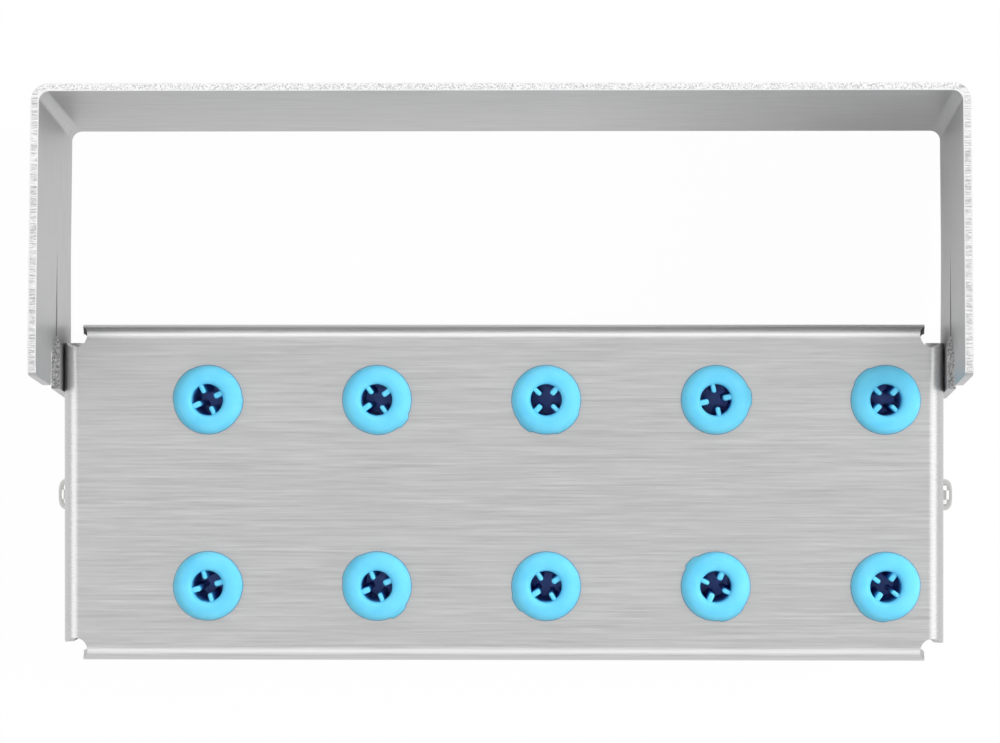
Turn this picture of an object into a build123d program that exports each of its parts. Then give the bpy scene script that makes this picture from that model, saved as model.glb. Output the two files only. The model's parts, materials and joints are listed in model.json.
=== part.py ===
from build123d import *
from math import asin, atan2, degrees, hypot
import os

# Bur block: a folded sheet cover with ten silicone sockets, closed from below by a
# folded base tray, and a folded lid strip that swings over the burs on two rivets.
# Millimetres. The origin is under the middle of the block, on the table. +X runs
# along the block, +Y to the back, where the open lid lies, and +Z up.

# Block
block_length = 95.6
block_width = 36.5
block_height = 13.4
sheet = 1.0
bend_inside = 0.8

# Open corners of the cover
corner_gap_along = 2.1     # from an end face to where a long wall starts
corner_gap_across = 2.0    # from a long face to where an end wall starts
relief_radius = 1.3
relief_depth = 0.5         # from the top face to the middle of a relief
relief_inset_along = 1.4
relief_inset_across = 1.25

# Base tray
tray_clearance = 0.1
tab_width = 16.0
tab_height = 7.6
tab_corner = 2.0
drain_diameter = 4.0
collar_wall = 0.55
collar_length = 1.0

# Socket pattern
columns = 5
left_margin = 15.8         # from the left end face to the first column
right_margin = 6.4         # from the last column to the right end face
row_margin = 8.15          # from a long face to the nearer row

# Silicone sockets
flange_diameter = 7.5
flange_height = 1.3
flange_round = 1.0
mouth_round = 0.4
neck_diameter = 5.2
neck_ease = 0.02
bead_diameter = 6.2
bead_height = 0.9
tube_diameter = 5.1
tube_floor = 1.0
tube_clearance = 1.0       # from the tube's underside to the tray
bore_diameter = 3.4
rib_count = 4
rib_width = 0.55
grip_diameter = 1.6        # circle left between the rib tips
rib_drop = 0.4             # from the top of the flange to the ribs
back_turns = (25, 36, 47, 12, 44)    # how far each socket is turned in its hole
front_turns = (16, 22, 33, 65, 54)

# Lid strip
lid_sheet = 0.9
lid_bend_inside = 1.1
lid_gap = 0.58             # from an end wall to the inside of a leg
strip_width = 28.2
strip_behind = 6.0         # part of the strip behind the rivet when the lid is shut
leg_reach = 27.1           # from the rivet to the inside of the crosspiece
leg_tail = 2.8             # from the rivet to the end of the leg
tongue_width = 12.0
tongue_gap = 0.15          # from an end wall to the tongue
slit_depth = 5.7
joggle_length = 0.8        # over which the tongue is set in, beside the slit
crease_length = 10.0       # the faint set-in that is left past the slit
crease_share = 0.3
notch_mouth = 3.7
notch_straight = 3.5
leg_corner = 1.5
notch_corner = 0.5

# Pivot rivets
pivot_setback = 4.75       # in from the back face
pivot_drop = 4.64          # down from the top face
rivet_diameter = 2.5
rivet_running = 0.05
rivet_seat = 0.02
rivet_head_diameter = 4.0
rivet_head_height = 0.8
rivet_play = 0.05
rivet_tail_diameter = 3.6
rivet_tail_height = 0.6
rivet_cup_diameter = 1.4
rivet_cup_depth = 1.1

# Side screws, which also stop the shut lid
screw_diameter = 2.0
screw_length = 4.0
screw_ease = 0.02
screw_hole = 2.3
screw_head_diameter = 3.5
screw_head_height = 1.55
screw_offset = 0.5         # in front of the middle of the end wall
screw_head_round = 0.8
recess_span = 1.9
recess_slot = 0.36
recess_depth = 0.75
stop_gap = 0.3

# Places worked out from the sizes
half_length = block_length / 2
half_width = block_width / 2
bend_outside = bend_inside + sheet
row_y = half_width - row_margin
cover_underside = block_height - sheet
end_inside = half_length - sheet
pivot_y = half_width - pivot_setback
pivot_z = block_height - pivot_drop
screw_z = pivot_z - leg_tail - stop_gap - screw_head_diameter / 2
tray_half_length = end_inside - tray_clearance
tray_half_width = half_width - sheet - tray_clearance
leg_inside = half_length + lid_gap
tongue_inside = half_length + tongue_gap
crosspiece_outside = leg_reach + lid_sheet

# The open lid lies back until the far edge of its crosspiece meets the table
open_dip = degrees(
    asin(pivot_z / hypot(crosspiece_outside, strip_behind))
    - atan2(strip_behind, crosspiece_outside)
)

LEFT_RIGHT = Plane.YZ


def nearest_vertex(shape, x, y, z=0):
    return shape.vertices().sort_by_distance((x, y, z))[0]


def column_x(column):
    pitch = (block_length - left_margin - right_margin) / (columns - 1)
    return left_margin - half_length + column * pitch


def turned(profile):
    """Revolve a profile drawn as radius and height about Z."""
    return revolve(Plane.XZ * profile, Axis.Z)


def along_x(solid):
    """Turn a solid built up +Z so that it stands out along +X."""
    return Rot(0, 90, 0) * solid


def folded_box(length, width, height, radius):
    """A box standing on the table, with its four top edges rounded."""
    block = Pos(0, 0, height / 2) * Box(length, width, height)
    return fillet(block.edges().group_by(Axis.Z)[-1], radius)


def make_cover():
    outside = folded_box(block_length, block_width, block_height, bend_outside)
    inside = folded_box(
        block_length - 2 * sheet, block_width - 2 * sheet, cover_underside, bend_inside
    )
    cover = outside - inside
    for side_x in (-1, 1):
        for side_y in (-1, 1):
            notch = Pos(
                side_x * half_length, side_y * half_width, block_height / 2
            ) * Box(2 * corner_gap_along, 2 * corner_gap_across, 2 * block_height)
            relief = Pos(
                side_x * (half_length - relief_inset_along),
                side_y * (half_width - relief_inset_across),
                block_height - relief_depth,
            ) * Sphere(relief_radius)
            cover -= notch + relief
        cover -= Pos(side_x * half_length, pivot_y, pivot_z) * along_x(
            Cylinder(rivet_diameter / 2 + rivet_seat, 4 * sheet)
        )
        cover -= Pos(side_x * half_length, -screw_offset, screw_z) * along_x(
            Cylinder(screw_hole / 2, 4 * sheet)
        )
    for column in range(columns):
        for side_y in (-1, 1):
            cover -= Pos(column_x(column), side_y * row_y, block_height) * Cylinder(
                neck_diameter / 2, 4 * sheet
            )
    return cover


def make_tray():
    """A U of sheet: the bottom, and a tab at each end that takes a side screw."""
    profile = make_face(
        Polyline(
            (-tray_half_length, 0),
            (tray_half_length, 0),
            (tray_half_length, tab_height),
            (tray_half_length - sheet, tab_height),
            (tray_half_length - sheet, sheet),
            (-tray_half_length + sheet, sheet),
            (-tray_half_length + sheet, tab_height),
            (-tray_half_length, tab_height),
            close=True,
        )
    )
    for side in (-1, 1):
        profile = fillet(nearest_vertex(profile, side * tray_half_length, 0), bend_outside)
        profile = fillet(
            nearest_vertex(profile, side * (tray_half_length - sheet), sheet), bend_inside
        )
    tray = extrude(Plane.XZ * profile, tray_half_width, both=True)
    beside_tab = tray_half_width - tab_width / 2
    for side_x in (-1, 1):
        for side_y in (-1, 1):
            tray -= Pos(
                side_x * tray_half_length,
                side_y * (tab_width + beside_tab) / 2,
                tab_height / 2,
            ) * Box(2 * bend_outside, beside_tab, 2 * tab_height)
    tab_edges = tray.edges().filter_by(Axis.X).group_by(Axis.Z)[-1]
    tray = fillet(tab_edges, tab_corner)
    collar_radius = screw_diameter / 2 + collar_wall
    for side_x in (-1, 1):
        tray += Pos(
            side_x * (tray_half_length - sheet - collar_length / 2), -screw_offset, screw_z
        ) * along_x(Cylinder(collar_radius, collar_length))
        tray -= Pos(side_x * tray_half_length, -screw_offset, screw_z) * along_x(
            Cylinder(screw_diameter / 2 + screw_ease, 4 * (sheet + collar_length))
        )
    for column in range(columns):
        tray -= Pos(column_x(column), 0, 0) * Cylinder(drain_diameter / 2, 4 * sheet)
    return tray


def make_socket(turn):
    """A silicone socket on its own axis, with z = 0 on the top of the cover."""
    neck_radius = neck_diameter / 2 - neck_ease
    bead_radius = bead_diameter / 2
    tube_radius = tube_diameter / 2
    tube_bottom = sheet + tube_clearance - block_height
    outline = make_face(
        Polyline(
            (0, flange_height),
            (flange_diameter / 2, flange_height),
            (flange_diameter / 2, 0),
            (neck_radius, 0),
            (neck_radius, -sheet),
            (bead_radius, -sheet),
            (tube_radius, -sheet - bead_height),
            (tube_radius, tube_bottom),
            (0, tube_bottom),
            close=True,
        )
    )
    outline = fillet(nearest_vertex(outline, flange_diameter / 2, flange_height), flange_round)
    outline = fillet(nearest_vertex(outline, tube_radius, tube_bottom), tube_floor / 2)
    bore_bottom = tube_bottom + tube_floor
    bore_length = flange_height - bore_bottom
    bore = Pos(0, 0, (flange_height + bore_bottom) / 2) * Cylinder(bore_diameter / 2, bore_length)
    socket = turned(outline) - bore
    mouth = socket.edges().filter_by(GeomType.CIRCLE).group_by(Axis.Z)[-1].sort_by(SortBy.RADIUS)[0]
    socket = fillet(mouth, mouth_round)

    rib_length = bore_length - rib_drop
    rib = Pos(bore_diameter / 4, 0, bore_bottom + rib_length / 2) * Box(
        (bore_diameter + sheet) / 2, rib_width, rib_length
    )
    grip = Pos(0, 0, flange_height) * Cylinder(grip_diameter / 2, 4 * block_height)
    bore_space = Pos(0, 0, bore_bottom + rib_length / 2) * Cylinder(
        (bore_diameter + rib_width) / 2, rib_length
    )
    ribs = [Rot(0, 0, 360 * number / rib_count) * rib for number in range(rib_count)]
    return Rot(0, 0, turn) * (socket + (Part() + ribs - grip & bore_space))


def leg_profile(inside_at_end):
    """The folded strip seen along its width, from the rivets to the crosspiece."""
    crease_start = slit_depth - leg_tail
    inside_at_crease = leg_inside - crease_share * (leg_inside - inside_at_end)
    right_inside = (
        (inside_at_end, -leg_tail),
        (inside_at_end, crease_start - joggle_length),
        (inside_at_crease, crease_start),
        (leg_inside, crease_start + crease_length),
        (leg_inside, leg_reach),
    )
    right_outside = (
        (leg_inside + lid_sheet, crosspiece_outside),
        (leg_inside + lid_sheet, crease_start + crease_length),
        (inside_at_crease + lid_sheet, crease_start),
        (inside_at_end + lid_sheet, crease_start - joggle_length),
        (inside_at_end + lid_sheet, -leg_tail),
    )
    left_outside = tuple((-x, y) for x, y in reversed(right_outside))
    left_inside = tuple((-x, y) for x, y in reversed(right_inside))
    profile = make_face(
        Polyline(*right_outside, *right_inside, *left_inside, *left_outside, close=True)
    )
    for side in (-1, 1):
        inner = nearest_vertex(profile, side * leg_inside, leg_reach)
        profile = fillet(inner, lid_bend_inside)
        outer = nearest_vertex(profile, side * (leg_inside + lid_sheet), crosspiece_outside)
        profile = fillet(outer, lid_bend_inside + lid_sheet)
    return profile


def make_lid():
    """Built about the rivet axis with the strip's width along Z, then laid open."""
    tongue_top = tongue_width - strip_behind
    strip_top = strip_width - strip_behind
    straight_part = Pos(0, 0, tongue_top) * extrude(
        leg_profile(leg_inside), strip_top - tongue_top
    )
    tongue_part = Pos(0, 0, -strip_behind) * extrude(leg_profile(tongue_inside), tongue_width)
    lid = straight_part + tongue_part

    slit_end = slit_depth - leg_tail
    mouth_top = tongue_top + notch_mouth
    straight_end = notch_straight - leg_tail
    notch = make_face(
        Polyline(
            (slit_end, tongue_top),
            (straight_end, mouth_top),
            (-2 * leg_tail, mouth_top),
            (-2 * leg_tail, tongue_top),
            close=True,
        )
    )
    lid -= extrude(Plane.YZ * notch, block_length, both=True)
    lid -= Cylinder(rivet_diameter / 2 + rivet_running, 2 * block_length, rotation=(0, 90, 0))
    for height, radius in ((strip_top, leg_corner), (mouth_top, notch_corner)):
        for side in (-1, 1):
            corner = (
                lid.edges()
                .filter_by(Axis.X)
                .sort_by_distance((side * (leg_inside + lid_sheet / 2), -leg_tail, height))[0]
            )
            lid = fillet(corner, radius)
    return Pos(0, pivot_y, pivot_z) * Rot(-open_dip, 0, 0) * lid


def make_rivet():
    """The right-hand rivet, from its domed head through the end wall to its tail."""
    head_seat = tongue_inside + lid_sheet + rivet_play
    tail_seat = end_inside
    shank_radius = rivet_diameter / 2
    head_radius = rivet_head_diameter / 2
    dome_radius = (head_radius**2 + rivet_head_height**2) / (2 * rivet_head_height)
    head = Pos(0, 0, head_seat + rivet_head_height - dome_radius) * Sphere(dome_radius)
    head &= Pos(0, 0, head_seat + rivet_head_height / 2) * Cylinder(
        rivet_head_diameter, rivet_head_height
    )
    shank_length = head_seat - tail_seat
    shank = Pos(0, 0, tail_seat + shank_length / 2) * Cylinder(shank_radius, shank_length)
    tail = Pos(0, 0, tail_seat - rivet_tail_height / 2) * Cylinder(
        rivet_tail_diameter / 2, rivet_tail_height
    )
    tail = fillet(tail.edges().group_by(Axis.Z)[0], rivet_tail_height / 2)
    cup = Pos(0, 0, tail_seat - rivet_tail_height) * Cylinder(
        rivet_cup_diameter / 2, 2 * rivet_cup_depth
    )
    return Pos(0, pivot_y, pivot_z) * along_x(head + shank + tail - cup)


def make_screw():
    """The right-hand pan-head screw, with a cross recess in its head."""
    seat = half_length
    head = Pos(0, 0, seat + screw_head_height / 2) * Cylinder(
        screw_head_diameter / 2, screw_head_height
    )
    head = fillet(head.edges().group_by(Axis.Z)[-1], screw_head_round)
    shank = Pos(0, 0, seat - screw_length / 2) * Cylinder(screw_diameter / 2, screw_length)
    slot = Pos(0, 0, seat + screw_head_height) * Box(recess_span, recess_slot, 2 * recess_depth)
    screw = head + shank - slot - Rot(0, 0, 90) * slot
    return Pos(0, -screw_offset, screw_z) * along_x(screw)


def both_sides(name, solid):
    return {f"{name}_right": solid, f"{name}_left": mirror(solid, LEFT_RIGHT)}


nodes = {"cover": make_cover(), "base_tray": make_tray(), "lid_strip": make_lid()}
nodes |= both_sides("pivot_rivet", make_rivet())
nodes |= both_sides("side_screw", make_screw())
for row, side_y, turns in (("back", 1, back_turns), ("front", -1, front_turns)):
    for column in range(columns):
        place = Pos(column_x(column), side_y * row_y, block_height)
        nodes[f"socket_{row}_{column + 1}"] = place * make_socket(turns[column])

os.makedirs("parts", exist_ok=True)
for name, solid in nodes.items():
    export_step(solid, f"parts/{name}.step")
print("lid lies back past level by", round(open_dip, 2), "degrees")
print("rivet axis at", round(pivot_y, 2), round(pivot_z, 2), "screw height", round(screw_z, 2))
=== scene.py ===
# A bur block in brushed aluminium with sky-blue silicone sockets, its lid laid open behind it.
# Metres, in the frame of the part: the origin is under the middle of the block.
import json
import math

import bpy
from mathutils import Euler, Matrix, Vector


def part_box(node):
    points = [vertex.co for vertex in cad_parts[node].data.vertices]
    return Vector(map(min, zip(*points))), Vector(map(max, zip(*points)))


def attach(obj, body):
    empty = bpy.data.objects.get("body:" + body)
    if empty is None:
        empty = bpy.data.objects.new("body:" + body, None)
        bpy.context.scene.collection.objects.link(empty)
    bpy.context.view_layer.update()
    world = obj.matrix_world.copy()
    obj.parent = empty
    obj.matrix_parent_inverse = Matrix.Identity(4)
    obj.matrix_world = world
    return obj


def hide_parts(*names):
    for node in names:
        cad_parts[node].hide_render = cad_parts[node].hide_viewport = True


MM = 0.001

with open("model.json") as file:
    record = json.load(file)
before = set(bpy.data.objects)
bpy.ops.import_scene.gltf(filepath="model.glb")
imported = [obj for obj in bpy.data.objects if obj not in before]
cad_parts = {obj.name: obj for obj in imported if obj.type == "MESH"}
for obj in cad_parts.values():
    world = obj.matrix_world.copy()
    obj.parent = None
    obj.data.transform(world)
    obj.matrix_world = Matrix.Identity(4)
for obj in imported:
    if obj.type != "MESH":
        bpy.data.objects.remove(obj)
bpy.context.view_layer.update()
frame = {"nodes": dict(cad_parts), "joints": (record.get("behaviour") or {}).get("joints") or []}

PLATE_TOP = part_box("cover")[1].z
HINGE = frame["joints"][0]
PIVOT = Vector(HINGE["pos_m"])
# The open lid dips below level by what its travel has over a right angle
LID_DIP = math.radians(HINGE["range_deg"][1] - 90)

# Sheet metal: how near loose corners are merged, what counts as flat or smooth, and a cut
# edge's round
SHEET_WELD = 0.002 * MM
FLAT_ANGLE = math.radians(0.4)
SMOOTH_ANGLE = math.radians(32)
SHEARED_ROUND = 0.07 * MM

# The lid's strip, from its pivot: along the leg, and across the strip
LID_SHEET = 0.9 * MM
SLIT_END = 2.9 * MM
TONGUE_TOP = 6.0 * MM
STRIP_TOP = 22.2 * MM
# Edges between these heights across the strip belong to the slit, and not to the rims
SLIT_FLOOR = TONGUE_TOP - 0.2 * MM
SLIT_CEILING = STRIP_TOP - 1 * MM
# A face that is turned at least this far across the strip is a cut edge
EDGE_FACING = 0.6
# From the middle of a cut edge's thickness: where the painted highlight along its corners starts,
# and where it is full
CORNER_HIGHLIGHT_START = 0.3 * LID_SHEET
CORNER_HIGHLIGHT_FULL = 0.42 * LID_SHEET
LID_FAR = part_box("lid_strip")[1]
LEG_INSIDE = LID_FAR.x - LID_SHEET
CROSSPIECE_INSIDE = (
    (LID_FAR.y - PIVOT.y - STRIP_TOP * math.sin(LID_DIP)) / math.cos(LID_DIP) - LID_SHEET
)

# Moulded sockets, in millimetres, with the profile as radius and height over the plate
SOCKET_SEGMENTS = 72
SOCKET_WELD = 0.001
SOCKET_SMOOTH_ANGLE = math.radians(50)
SOCKET_FLOOR = -10.4
FOOT_TOP = 0.08
SOCKET_PROFILE = (
    (1.95, -11.4),
    (2.35, -11.3),
    (2.55, -10.9),
    (2.55, -1.9),
    (3.02, -1.3),
    (3.1, -1.06),
    (3.0, -1.0),
    (2.58, -1.0),
    (2.58, 0.0),
    (3.75, 0.0),
    (3.78, 0.03),
    (3.75, FOOT_TOP),
    (3.7, 0.14),
    (3.7, 0.3),
    (3.64, 0.55),
    (3.5, 0.82),
    (3.27, 1.04),
    (2.95, 1.2),
    (2.6, 1.28),
    (2.25, 1.3),
    (1.98, 1.24),
    (1.8, 1.1),
    (1.71, 0.9),
    (1.7, 0.6),
    (1.7, SOCKET_FLOOR),
)
RIB_WIDTH = 0.5
RIB_TIP = 0.8
RIB_ROOT = 2.0
RIB_TOP = 0.92
RIB_ROUND = 0.22
RIB_FLARES = (1.2, 0.95, 1.2, 0.95)
# The foot of the flange, which flash pulls out: beyond this radius, and between these heights
FLASH_RADIUS = 3.6
FLASH_LOW = -0.01
FLASH_HIGH = 0.35
FLASH_STEPS = 3
# Each socket's turn in its hole, and its flash: where it stands out, how wide and how far
SOCKETS = {
    "back_1": (25, ((-12, 14, 0.14), (150, 30, 0.07))),
    "back_2": (36, ((-38, 12, 0.16), (-70, 25, 0.06))),
    "back_3": (47, ((-128, 12, 0.12), (-50, 28, 0.14))),
    "back_4": (12, ((-172, 14, 0.16), (5, 16, 0.16))),
    "back_5": (44, ((133, 18, 0.18), (-20, 30, 0.05))),
    "front_1": (16, ((8, 14, 0.1), (-145, 40, 0.06))),
    "front_2": (22, ((-52, 15, 0.3), (143, 25, 0.12))),
    "front_3": (33, ((48, 16, 0.14), (-150, 14, 0.16))),
    "front_4": (65, ((137, 13, 0.34), (-62, 22, 0.14))),
    "front_5": (54, ((42, 40, 0.12), (-115, 25, 0.1))),
}

# Marks on the metal, in millimetres: how far apart scratches lie along X, Y and Z. The grains of
# a 180 grit belt are about 0.08 across. All marks are drawn coarser than that, so that they show
# from half a metre.
COVER_SCRATCHES = (8.0, 0.19, 0.19)
COVER_BANDS = (30.0, 0.6, 0.6)
CROSSPIECE_SCRATCHES = (6.0, 0.2, 0.2)
LEG_SCRATCHES = (math.inf, 6.0, 0.2)
RIM_GRINDING = (1.4, 0.13, 0.13)
TORN_GRAIN = 0.16
HANDLING_MARKS = 0.6

# Silicone, in millimetres: clouds, skin, and how deep down the bore the painted shade reaches its
# full darker blue
CLOUD_SIZE = 2.5
SKIN_GRAIN = 0.25
BORE_SHADE_DEPTH = 4

# The photographer's camera, nearly overhead
CAMERA_PLACE = Vector((8.99 * MM, 16.21 * MM, PLATE_TOP + 445.2 * MM))
CAMERA_TURN = (math.radians(-0.392), math.radians(1.196), 0)
CAMERA_LENS = 147.96
CAMERA_SENSOR = 36

# Softboxes: where each stands, its width and height, its watts, and whether metal shows it
LAMPS = {
    "left softbox": ((-0.42, 0.0, 0.38), (0.6, 0.35), 0.6, True),
    "right softbox": ((0.42, 0.0, 0.4), (0.6, 0.45), 0.85, True),
    "front softbox": ((0.0, -0.45, 0.35), (0.6, 0.35), 0.55, True),
    "back softbox": ((0.0, 0.5, 0.35), (0.6, 0.4), 1.1, True),
    "key lamp, right": ((0.5, 0.1, 0.33), (0.25, 0.25), 2.0, False),
    "fill lamp beside the camera": ((0.0, 0.0, 0.6), (0.1, 0.1), 0.5, False),
}
WORLD_LIGHT = 0.25
# The floor lies a hair below the part, to keep its face apart from the part's underside
FLOOR_SIZE = 3
FLOOR_DROP = 0.01 * MM
# The share of plain white in what the eye sees of the floor, and in what metal shows of it, which
# is less in a spot of painted shade under the lid's corner, seen only in the metal, all through
# its core and fading to its reach
FLOOR_WHITENESS = 0.97
FLOOR_SHINE = 0.95
SHADE_SPOT = Vector((46 * MM, 42 * MM, 0))
SHADE_SPOT_CORE = 8 * MM
SHADE_SPOT_REACH = 40 * MM
SHADE_SPOT_SHINE = 0.05
# The share of plain white that metal shows of the studio overhead
SKY_SHINE = 0.78


def deselect_all():
    for thing in bpy.context.selected_objects:
        thing.select_set(False)


def activate(piece):
    deselect_all()
    piece.select_set(True)
    bpy.context.view_layer.objects.active = piece


def apply_modifiers(piece):
    activate(piece)
    for name in [modifier.name for modifier in piece.modifiers]:
        bpy.ops.object.modifier_apply(modifier=name)


def settle(piece):
    """Leave the piece's place in its mesh, with its object at the origin."""
    activate(piece)
    bpy.ops.object.transform_apply(location=True, rotation=True, scale=True)


# Sheet metal


def break_edges(node, name, body):
    """A copy of a folded sheet whose cut edges have the small round that tumbling leaves."""
    activate(frame["nodes"][node])
    bpy.ops.object.duplicate()
    piece = bpy.context.object
    piece.name = name
    bpy.ops.object.mode_set(mode="EDIT")
    bpy.ops.mesh.select_all(action="SELECT")
    bpy.ops.mesh.customdata_custom_splitnormals_clear()
    bpy.ops.mesh.remove_doubles(threshold=SHEET_WELD)
    bpy.ops.mesh.dissolve_limited(angle_limit=FLAT_ANGLE, delimit={"NORMAL"})
    bpy.ops.object.mode_set(mode="OBJECT")
    rounding = piece.modifiers.new("edge round", "BEVEL")
    rounding.width = SHEARED_ROUND
    rounding.segments = 2
    rounding.limit_method = "ANGLE"
    rounding.angle_limit = SMOOTH_ANGLE
    rounding.use_clamp_overlap = True
    apply_modifiers(piece)
    bpy.ops.object.shade_smooth_by_angle(angle=SMOOTH_ANGLE)
    flatness = piece.modifiers.new("flat faces stay flat", "WEIGHTED_NORMAL")
    flatness.keep_sharp = True
    flatness.weight = 100
    apply_modifiers(piece)
    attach(piece, body)
    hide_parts(node)
    return piece


# Silicone sockets


def lathe_socket():
    """Extrude a circle through the profile, from under the tube, over the flange to the bore."""
    start_radius, start_height = SOCKET_PROFILE[0]
    bpy.ops.mesh.primitive_circle_add(
        vertices=SOCKET_SEGMENTS,
        radius=start_radius * MM,
        location=(0, 0, start_height * MM),
    )
    socket = bpy.context.object
    settle(socket)
    bpy.ops.object.mode_set(mode="EDIT")
    bpy.ops.mesh.select_all(action="SELECT")
    bpy.ops.mesh.edge_face_add()
    bpy.ops.mesh.poke()
    bpy.ops.mesh.select_all(action="DESELECT")
    bpy.ops.mesh.select_mode(type="EDGE")
    bpy.ops.mesh.select_non_manifold(extend=False)
    radius, height = start_radius, start_height
    for next_radius, next_height in SOCKET_PROFILE[1:]:
        bpy.ops.mesh.extrude_region_move(
            TRANSFORM_OT_translate={"value": (0, 0, (next_height - height) * MM)}
        )
        growth = next_radius / radius
        bpy.ops.transform.resize(
            value=(growth, growth, 1), center_override=(0, 0, next_height * MM)
        )
        radius, height = next_radius, next_height
    bpy.ops.mesh.edge_face_add()
    bpy.ops.mesh.poke()
    bpy.ops.mesh.select_mode(type="VERT")
    bpy.ops.mesh.select_all(action="SELECT")
    bpy.ops.mesh.remove_doubles(threshold=SOCKET_WELD * MM)
    bpy.ops.mesh.normals_make_consistent(inside=False)
    bpy.ops.object.mode_set(mode="OBJECT")
    return socket


def mould_rib(angle, flare):
    """A bar from the bore's wall towards the middle, with rounded edges and a flared root."""
    height = RIB_TOP - SOCKET_FLOOR
    middle = (RIB_ROOT + RIB_TIP) / 2 * MM
    bpy.ops.mesh.primitive_cube_add(size=1, location=(middle, 0, (RIB_TOP - height / 2) * MM))
    rib = bpy.context.object
    rib.scale = ((RIB_ROOT - RIB_TIP) * MM, RIB_WIDTH * MM, height * MM)
    settle(rib)
    for vertex in rib.data.vertices:
        vertex.select = vertex.co.x > middle
    bpy.ops.object.mode_set(mode="EDIT")
    bpy.ops.transform.resize(value=(1, flare, 1))
    bpy.ops.object.mode_set(mode="OBJECT")
    softening = rib.modifiers.new("moulded round", "BEVEL")
    softening.width = RIB_ROUND * MM
    softening.segments = 4
    apply_modifiers(rib)
    rib.rotation_euler = (0, 0, angle)
    settle(rib)
    return rib


def join_rib(socket, rib):
    union = socket.modifiers.new("rib", "BOOLEAN")
    union.operation = "UNION"
    union.solver = "EXACT"
    union.object = rib
    apply_modifiers(socket)
    bpy.data.objects.remove(rib)


def pull_flash(socket, angle, spread, reach):
    """Draw the foot of the flange outwards round one place, where the mould leaked."""
    for step in range(FLASH_STEPS):
        limit = math.radians(spread) * (1 - step / FLASH_STEPS)
        activate(socket)
        for vertex in socket.data.vertices:
            bearing = math.atan2(vertex.co.y, vertex.co.x) - math.radians(angle)
            off = abs(math.remainder(bearing, math.tau))
            out = math.hypot(vertex.co.x, vertex.co.y) > FLASH_RADIUS * MM
            at_foot = FLASH_LOW * MM < vertex.co.z < FLASH_HIGH * MM
            vertex.select = out and off < limit and at_foot
        bpy.ops.object.mode_set(mode="EDIT")
        push = reach * MM / FLASH_STEPS
        way = (math.cos(math.radians(angle)) * push, math.sin(math.radians(angle)) * push, 0)
        bpy.ops.transform.translate(value=way)
        bpy.ops.object.mode_set(mode="OBJECT")


def select_none(mesh):
    for group in (mesh.polygons, mesh.edges, mesh.vertices):
        group.foreach_set("select", [False] * len(group))


def place_socket(pattern, name, turn, flash):
    activate(pattern)
    bpy.ops.object.duplicate()
    socket = bpy.context.object
    socket.name = f"silicone_socket_{name}"
    socket.rotation_euler = (0, 0, math.radians(turn))
    settle(socket)
    select_none(socket.data)
    for angle, spread, reach in flash:
        pull_flash(socket, angle, spread, reach)
    low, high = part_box(f"socket_{name}")
    socket.location = ((low.x + high.x) / 2, (low.y + high.y) / 2, PLATE_TOP)
    settle(socket)
    bpy.ops.object.shade_smooth_by_angle(angle=SOCKET_SMOOTH_ANGLE)
    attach(socket, "block")
    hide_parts(f"socket_{name}")
    return socket


def mould_sockets():
    pattern = lathe_socket()
    for quarter, flare in enumerate(RIB_FLARES):
        join_rib(pattern, mould_rib(quarter * math.pi / 2, flare))
    sockets = [place_socket(pattern, name, *form) for name, form in SOCKETS.items()]
    bpy.data.objects.remove(pattern)
    return sockets


# Materials


def srgb(code):
    """A hex colour, as a painter writes it, turned to linear light."""
    values = [int(code[start : start + 2], 16) / 255 for start in (0, 2, 4)]
    linear = [v / 12.92 if v <= 0.04045 else ((v + 0.055) / 1.055) ** 2.4 for v in values]
    return (*linear, 1)


def add_node(tree, kind, settings=None, links=None):
    """Add a node, set what settings names, and link each input in links to its source."""
    node = tree.nodes.new(kind)
    for key, value in (settings or {}).items():
        if isinstance(key, int) or key in node.inputs:
            node.inputs[key].default_value = value
        else:
            setattr(node, key, value)
    for key, source in (links or {}).items():
        tree.links.new(source, node.inputs[key])
    return node


def new_material(name):
    material = bpy.data.materials.new(name)
    material.use_nodes = True
    tree = material.node_tree
    return material, tree, tree.nodes["Principled BSDF"]


def brushed(tree, where, spacing, detail=3.0):
    """Scratches as long and as far apart as the spacing says, along X, Y and Z."""
    stretched = add_node(
        tree,
        "ShaderNodeMapping",
        {"Scale": [1 / (gap * MM) for gap in spacing]},
        {"Vector": where},
    )
    scratches = add_node(
        tree,
        "ShaderNodeTexNoise",
        {"Scale": 1.0, "Detail": detail, "Roughness": 0.65},
        {"Vector": stretched.outputs["Vector"]},
    )
    return scratches.outputs["Fac"]


def shaded(tree, value, low, high, dark, light):
    """A colour that goes from dark to light as the value goes from low to high."""
    share = add_node(
        tree, "ShaderNodeMapRange", {"From Min": low, "From Max": high}, {"Value": value}
    )
    colour = add_node(
        tree,
        "ShaderNodeMix",
        {"data_type": "RGBA", 6: srgb(dark), 7: srgb(light)},
        {0: share.outputs["Result"]},
    )
    return colour.outputs[2]


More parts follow.
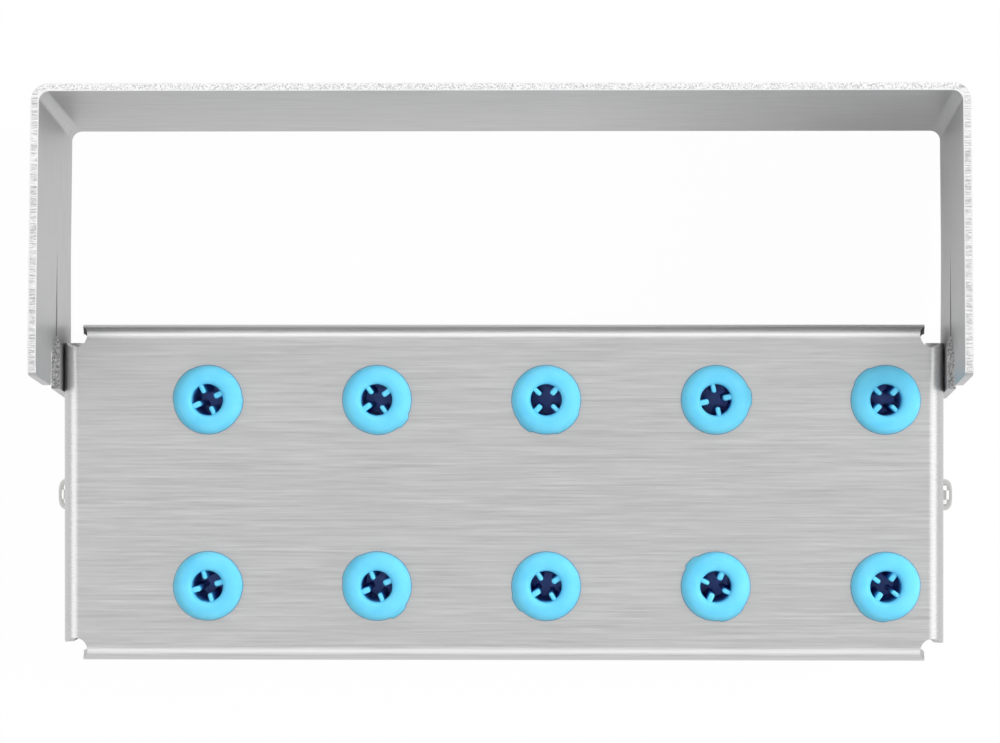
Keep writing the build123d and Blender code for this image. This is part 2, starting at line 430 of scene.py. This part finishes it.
def cover_finish():
    """Aluminium sheet brushed with a belt along the block: straight fine scratches, a satin grey
    top and a soft shine that widens across the grain. The scratches are drawn more than twice as
    coarse as 180 grit leaves them, so that they show from half a metre."""
    material, tree, shader = new_material("brushed aluminium cover")
    place = add_node(tree, "ShaderNodeTexCoord")
    where = place.outputs["Object"]
    fine = brushed(tree, where, COVER_SCRATCHES)
    broad = brushed(tree, where, COVER_BANDS, detail=2.0)
    scratches = add_node(
        tree, "ShaderNodeMix", {"data_type": "FLOAT", 0: 0.15}, {2: fine, 3: broad}
    ).outputs[0]
    roughness = add_node(
        tree,
        "ShaderNodeMapRange",
        {"From Min": 0.3, "From Max": 0.7, "To Min": 0.3, "To Max": 0.42},
        {"Value": scratches},
    )
    bump = add_node(
        tree, "ShaderNodeBump", {"Strength": 0.15, "Distance": 0.01 * MM}, {"Height": fine}
    )
    shade = shaded(tree, scratches, 0.3, 0.7, "BCBCBC", "D2D2D2")
    tree.links.new(shade, shader.inputs["Base Color"])
    tree.links.new(roughness.outputs["Result"], shader.inputs["Roughness"])
    tree.links.new(bump.outputs["Normal"], shader.inputs["Normal"])
    shader.inputs["Metallic"].default_value = 1.0
    return material


def lid_place(tree):
    """Places on the lid's strip from the rivet, along the leg and across the strip."""
    turn = Euler((LID_DIP, 0, 0))
    pivot = PIVOT.copy()
    pivot.rotate(turn)
    place = add_node(tree, "ShaderNodeTexCoord")
    from_pivot = add_node(
        tree,
        "ShaderNodeMapping",
        {"Location": -pivot, "Rotation": turn},
        {"Vector": place.outputs["Object"]},
    )
    facing = add_node(
        tree,
        "ShaderNodeVectorMath",
        {"operation": "DOT_PRODUCT", 1: (0, math.sin(LID_DIP), math.cos(LID_DIP))},
        {0: place.outputs["Normal"]},
    )
    return from_pivot.outputs["Vector"], facing.outputs["Value"]


def lid_faces(tree, where, on_leg):
    """Scratches along the strip: along the legs, and along the crosspiece between them."""
    scratches = add_node(
        tree,
        "ShaderNodeMix",
        {"data_type": "FLOAT"},
        {
            0: on_leg,
            2: brushed(tree, where, CROSSPIECE_SCRATCHES),
            3: brushed(tree, where, LEG_SCRATCHES),
        },
    )
    return shaded(tree, scratches.outputs[0], 0.3, 0.7, "B0B0B0", "C4C4C4")


def rim_border(tree, sideways, along_leg):
    """0 in the middle of the sheet's thickness and 1 at its two corners, for the painted highlight
    there.
    """
    past_leg = add_node(
        tree, "ShaderNodeMath", {"operation": "SUBTRACT", 1: LEG_INSIDE}, {0: sideways}
    )
    past_crosspiece = add_node(
        tree, "ShaderNodeMath", {"operation": "SUBTRACT", 1: CROSSPIECE_INSIDE}, {0: along_leg}
    )
    depth = add_node(
        tree,
        "ShaderNodeMath",
        {"operation": "MAXIMUM"},
        {0: past_leg.outputs[0], 1: past_crosspiece.outputs[0]},
    )
    from_middle = add_node(
        tree, "ShaderNodeMath", {"operation": "SUBTRACT", 1: LID_SHEET / 2}, {0: depth.outputs[0]}
    )
    off = add_node(
        tree, "ShaderNodeMath", {"operation": "ABSOLUTE"}, {0: from_middle.outputs[0]}
    )
    corner_highlight = add_node(
        tree,
        "ShaderNodeMapRange",
        {"From Min": CORNER_HIGHLIGHT_START, "From Max": CORNER_HIGHLIGHT_FULL},
        {"Value": off.outputs[0]},
    )
    return corner_highlight.outputs["Result"]


def rim_colour(tree, corner_highlight, on_leg, torn, leg_marks):
    """Grey marks on a light ground, with a highlight painted along both corners of the sheet's
    thickness.
    """
    marked = add_node(
        tree,
        "ShaderNodeMix",
        {"data_type": "RGBA"},
        {
            0: on_leg,
            6: shaded(tree, torn, 0.36, 0.54, "B2B2B2", "F2F2F2"),
            7: shaded(tree, leg_marks, 0.36, 0.6, "AEAEAE", "F0F0F0"),
        },
    )
    # Painted highlight: both corners of the sheet's thickness are painted light grey, as the light
    # they catch
    rim = add_node(
        tree,
        "ShaderNodeMix",
        {"data_type": "RGBA", 7: srgb("E8E8E8")},
        {0: corner_highlight, 6: marked.outputs[2]},
    )
    return rim.outputs[2]


def slit_and_crease(tree, along_leg, across_strip):
    """1 on the slit's two edges, and 1 where they run out in the crease past its end."""
    below_rim = add_node(
        tree,
        "ShaderNodeMath",
        {"operation": "LESS_THAN", 1: SLIT_CEILING},
        {0: across_strip},
    )
    above_tongue = add_node(
        tree,
        "ShaderNodeMath",
        {"operation": "GREATER_THAN", 1: SLIT_FLOOR},
        {0: across_strip},
    )
    in_slit = add_node(
        tree,
        "ShaderNodeMath",
        {"operation": "MULTIPLY"},
        {0: below_rim.outputs[0], 1: above_tongue.outputs[0]},
    )
    past_slit = add_node(
        tree, "ShaderNodeMath", {"operation": "GREATER_THAN", 1: SLIT_END}, {0: along_leg}
    )
    crease_shade_mask = add_node(
        tree,
        "ShaderNodeMath",
        {"operation": "MULTIPLY"},
        {0: in_slit.outputs[0], 1: past_slit.outputs[0]},
    )
    return in_slit.outputs[0], crease_shade_mask.outputs[0]


def lid_finish():
    """The lid's strip is aluminium sheet too, brushed along the strip before it was folded. Its rim
    was ground flat afterwards on a belt that ran from leg to leg, so the marks lie across the
    legs' edges, and the crosspiece's is left finely speckled. The slit's edges are torn, with a
    darker grey painted on them as shade and lighter specks painted as glints, and its end runs out
    in a crease painted dark as a hairline shadow. All these marks are drawn coarser than a belt's
    grit leaves them, so that they show from half a metre."""
    material, tree, shader = new_material("brushed aluminium lid strip")
    where, facing = lid_place(tree)
    parts = add_node(tree, "ShaderNodeSeparateXYZ", links={"Vector": where})
    along_leg = parts.outputs["Y"]
    sideways = add_node(
        tree, "ShaderNodeMath", {"operation": "ABSOLUTE"}, {0: parts.outputs["X"]}
    ).outputs[0]
    on_leg = add_node(
        tree,
        "ShaderNodeMath",
        {"operation": "GREATER_THAN", 1: LEG_INSIDE - LID_SHEET / 2},
        {0: sideways},
    ).outputs[0]
    ground = brushed(tree, where, RIM_GRINDING, detail=1.0)
    torn = add_node(
        tree,
        "ShaderNodeTexNoise",
        {"Scale": 1 / (TORN_GRAIN * MM), "Detail": 3.0, "Roughness": 0.7},
        {"Vector": where},
    ).outputs["Fac"]
    leg_marks = add_node(
        tree, "ShaderNodeMix", {"data_type": "FLOAT", 0: 0.35}, {2: ground, 3: torn}
    ).outputs[0]
    rim_marks = add_node(
        tree, "ShaderNodeMix", {"data_type": "FLOAT"}, {0: on_leg, 2: torn, 3: leg_marks}
    ).outputs[0]

    slope = add_node(tree, "ShaderNodeMath", {"operation": "ABSOLUTE"}, {0: facing})
    on_edge = add_node(
        tree,
        "ShaderNodeMath",
        {"operation": "GREATER_THAN", 1: EDGE_FACING},
        {0: slope.outputs[0]},
    ).outputs[0]
    in_slit, crease_shade_mask = slit_and_crease(tree, along_leg, parts.outputs["Z"])
    corner_highlight = rim_border(tree, sideways, along_leg)
    # The slit's edges: torn grain in a darker grey painted as shade, with lighter specks painted as
    # glints
    cut_shade = add_node(
        tree,
        "ShaderNodeMix",
        {"data_type": "RGBA"},
        {
            0: in_slit,
            6: rim_colour(tree, corner_highlight, on_leg, torn, leg_marks),
            7: shaded(tree, torn, 0.36, 0.66, "585858", "C4C4C4"),
        },
    )
    # Painted shade: the crease past the slit's end is painted dark grey, as a hairline shadow
    edge_shade = add_node(
        tree,
        "ShaderNodeMix",
        {"data_type": "RGBA", 7: srgb("6A6A6A")},
        {0: crease_shade_mask, 6: cut_shade.outputs[2]},
    )
    colour = add_node(
        tree,
        "ShaderNodeMix",
        {"data_type": "RGBA"},
        {0: on_edge, 6: lid_faces(tree, where, on_leg), 7: edge_shade.outputs[2]},
    )
    roughness = add_node(
        tree, "ShaderNodeMapRange", {"To Min": 0.42, "To Max": 0.5}, {"Value": on_edge}
    )
    across = add_node(
        tree, "ShaderNodeCombineXYZ", {"Y": math.sin(LID_DIP), "Z": math.cos(LID_DIP)}
    )
    marks = add_node(
        tree, "ShaderNodeMath", {"operation": "MULTIPLY"}, {0: rim_marks, 1: on_edge}
    )
    bump = add_node(
        tree,
        "ShaderNodeBump",
        {"Strength": 0.25, "Distance": 0.03 * MM},
        {"Height": marks.outputs[0]},
    )
    tree.links.new(colour.outputs[2], shader.inputs["Base Color"])
    tree.links.new(roughness.outputs["Result"], shader.inputs["Roughness"])
    tree.links.new(bump.outputs["Normal"], shader.inputs["Normal"])
    tree.links.new(across.outputs["Vector"], shader.inputs["Tangent"])
    shader.inputs["Anisotropic"].default_value = 0.6
    shader.inputs["Metallic"].default_value = 1.0
    return material


def socket_finish():
    """Moulded silicone rubber, sky blue all through: a satin skin that lets a little light in, a
    faint cloudiness from the mould, a darker, deeper blue painted down the bore as its shade, and a
    thin foot painted darker as the contact shadow where it meets the metal. The skin's grain is
    drawn coarser than a mould leaves it, so that it shows from half a metre."""
    material, tree, shader = new_material("sky-blue silicone rubber")
    place = add_node(tree, "ShaderNodeTexCoord")
    where = place.outputs["Object"]
    cloud = add_node(
        tree,
        "ShaderNodeTexNoise",
        {"Scale": 1 / (CLOUD_SIZE * MM), "Detail": 2.0},
        {"Vector": where},
    )
    height = add_node(tree, "ShaderNodeSeparateXYZ", links={"Vector": where}).outputs["Z"]
    # Painted contact shadow: the thin foot of the flange, just over the plate, is painted a darker
    # blue; the bore under the plate is left out
    over_foot = add_node(
        tree,
        "ShaderNodeMapRange",
        {"From Min": PLATE_TOP + FOOT_TOP * MM, "From Max": PLATE_TOP + 2 * FOOT_TOP * MM},
        {"Value": height},
    )
    under_plate = add_node(
        tree,
        "ShaderNodeMath",
        {"operation": "LESS_THAN", 1: PLATE_TOP - FOOT_TOP * MM},
        {0: height},
    )
    # Painted shade in the bore: the blue turns darker and deeper from the plate down to its full
    # depth
    depth = add_node(
        tree,
        "ShaderNodeMapRange",
        {"From Min": PLATE_TOP, "From Max": PLATE_TOP - BORE_SHADE_DEPTH * MM},
        {"Value": height},
    )
    body = add_node(
        tree,
        "ShaderNodeMix",
        {"data_type": "RGBA", 7: srgb("7A96E6")},
        {
            0: depth.outputs["Result"],
            6: shaded(tree, cloud.outputs["Fac"], 0.3, 0.7, "68CFF6", "74D8FB"),
        },
    )
    off_foot_shadow = add_node(
        tree,
        "ShaderNodeMath",
        {"operation": "MAXIMUM"},
        {0: over_foot.outputs["Result"], 1: under_plate.outputs[0]},
    )
    # The foot's painted contact shadow, a darker blue, laid over the body colour
    colour = add_node(
        tree,
        "ShaderNodeMix",
        {"data_type": "RGBA", 6: srgb("4684B8")},
        {0: off_foot_shadow.outputs[0], 7: body.outputs[2]},
    )
    grain = add_node(
        tree,
        "ShaderNodeTexNoise",
        {"Scale": 1 / (SKIN_GRAIN * MM), "Detail": 3.0},
        {"Vector": where},
    )
    bump = add_node(
        tree,
        "ShaderNodeBump",
        {"Strength": 0.15, "Distance": 0.02 * MM},
        {"Height": grain.outputs["Fac"]},
    )
    tree.links.new(colour.outputs[2], shader.inputs["Base Color"])
    tree.links.new(bump.outputs["Normal"], shader.inputs["Normal"])
    shader.inputs["Roughness"].default_value = 0.42
    shader.inputs["IOR"].default_value = 1.41
    shader.inputs["Subsurface Weight"].default_value = 0.35
    shader.inputs["Subsurface Radius"].default_value = (0.6, 1.0, 1.4)
    shader.inputs["Subsurface Scale"].default_value = 1 * MM
    return material


def bright_metal(name, code, roughness):
    """Turned metal left bright: a plain shine, a little duller where it has been handled."""
    material, tree, shader = new_material(name)
    place = add_node(tree, "ShaderNodeTexCoord")
    wear = add_node(
        tree,
        "ShaderNodeTexNoise",
        {"Scale": 1 / (HANDLING_MARKS * MM), "Detail": 3.0},
        {"Vector": place.outputs["Object"]},
    )
    dullness = add_node(
        tree,
        "ShaderNodeMapRange",
        {"To Min": roughness - 0.06, "To Max": roughness + 0.08},
        {"Value": wear.outputs["Fac"]},
    )
    tree.links.new(dullness.outputs["Result"], shader.inputs["Roughness"])
    shader.inputs["Base Color"].default_value = srgb(code)
    shader.inputs["Metallic"].default_value = 1.0
    return material


def paint(piece, material):
    piece.data.materials.clear()
    piece.data.materials.append(material)


# Studio


def white_to_eye(tree, lit, shown, eye_share, shine_share):
    """Mix what is lit with plain white, for the eye and for what metal shows of the studio."""
    path = add_node(tree, "ShaderNodeLightPath")
    seen = add_node(
        tree,
        "ShaderNodeMath",
        {"operation": "MAXIMUM"},
        {0: path.outputs["Is Camera Ray"], 1: path.outputs["Is Transmission Ray"]},
    )
    to_eye = add_node(
        tree, "ShaderNodeMath", {"operation": "MULTIPLY", 1: eye_share}, {0: seen.outputs[0]}
    )
    to_shine = add_node(
        tree,
        "ShaderNodeMath",
        {"operation": "MULTIPLY"},
        {0: path.outputs["Is Glossy Ray"], 1: shine_share},
    )
    share = add_node(
        tree,
        "ShaderNodeMath",
        {"operation": "MAXIMUM"},
        {0: to_eye.outputs[0], 1: to_shine.outputs[0]},
    )
    mix = add_node(
        tree,
        "ShaderNodeMixShader",
        links={0: share.outputs[0], 1: lit.outputs[0], 2: shown.outputs[0]},
    )
    return mix.outputs[0]


def build_world():
    world = bpy.data.worlds.new("studio")
    world.use_nodes = True
    bpy.context.scene.world = world
    tree = world.node_tree
    shown = tree.nodes["Background"]
    shown.inputs["Color"].default_value = srgb("FFFFFF")
    lit = add_node(
        tree, "ShaderNodeBackground", {"Color": srgb("FFFFFF"), "Strength": WORLD_LIGHT}
    )
    shine = add_node(tree, "ShaderNodeValue")
    shine.outputs[0].default_value = SKY_SHINE
    sky = white_to_eye(tree, lit, shown, 1, shine.outputs[0])
    tree.links.new(sky, tree.nodes["World Output"].inputs["Surface"])


def build_floor():
    """White paper that keeps the shadow, and that is clear from below, to show the underside."""
    bpy.ops.mesh.primitive_plane_add(size=FLOOR_SIZE, location=(0, 0, -FLOOR_DROP))
    floor = bpy.context.object
    floor.name = "floor"
    material, tree, paper = new_material("white paper floor")
    paper.inputs["Base Color"].default_value = srgb("F4F4F4")
    paper.inputs["Roughness"].default_value = 0.9
    shown = add_node(tree, "ShaderNodeEmission")
    place = add_node(tree, "ShaderNodeTexCoord")
    from_spot = add_node(
        tree,
        "ShaderNodeVectorMath",
        {"operation": "DISTANCE", 1: SHADE_SPOT},
        {0: place.outputs["Object"]},
    )
    # Painted shade: under the lid's corner, metal sees less plain white and more of the lit paper,
    # so the corner reflects darker
    shine = add_node(
        tree,
        "ShaderNodeMapRange",
        {
            "From Min": SHADE_SPOT_CORE,
            "From Max": SHADE_SPOT_REACH,
            "To Min": SHADE_SPOT_SHINE,
            "To Max": FLOOR_SHINE,
        },
        {"Value": from_spot.outputs["Value"]},
    )
    surface = white_to_eye(tree, paper, shown, FLOOR_WHITENESS, shine.outputs["Result"])
    side = add_node(tree, "ShaderNodeNewGeometry")
    clear = add_node(tree, "ShaderNodeBsdfTransparent")
    one_sided = add_node(
        tree,
        "ShaderNodeMixShader",
        links={0: side.outputs["Backfacing"], 1: surface, 2: clear.outputs[0]},
    )
    tree.links.new(one_sided.outputs[0], tree.nodes["Material Output"].inputs["Surface"])
    paint(floor, material)


def build_lamps():
    for name, (place, size, power, in_shine) in LAMPS.items():
        bpy.ops.object.light_add(type="AREA", location=place)
        lamp = bpy.context.object
        lamp.name = name
        lamp.data.shape = "RECTANGLE"
        lamp.data.size, lamp.data.size_y = size
        lamp.data.energy = power
        lamp.visible_glossy = in_shine
        lamp.rotation_euler = (-Vector(place)).to_track_quat("-Z", "Y").to_euler()


def build_camera():
    bpy.ops.object.camera_add(location=CAMERA_PLACE, rotation=CAMERA_TURN)
    camera = bpy.context.object
    camera.data.lens = CAMERA_LENS
    camera.data.sensor_width = CAMERA_SENSOR
    camera.data.clip_start = 0.01
    bpy.context.scene.camera = camera


cover = break_edges("cover", "folded_cover", "block")
lid = break_edges("lid_strip", "folded_lid", "lid")
sockets = mould_sockets()

cover_metal = cover_finish()
paint(cover, cover_metal)
paint(frame["nodes"]["base_tray"], cover_metal)
paint(lid, lid_finish())
silicone = socket_finish()
for socket in sockets:
    paint(socket, silicone)
rivet_metal = bright_metal("bright aluminium rivet", "D2D2D2", 0.28)
screw_metal = bright_metal("bright stainless screw", "C4C4C2", 0.12)
for side in ("left", "right"):
    paint(frame["nodes"][f"pivot_rivet_{side}"], rivet_metal)
    paint(frame["nodes"][f"side_screw_{side}"], screw_metal)

build_world()
build_floor()
build_lamps()
build_camera()
bpy.context.scene.view_settings.view_transform = "Standard"
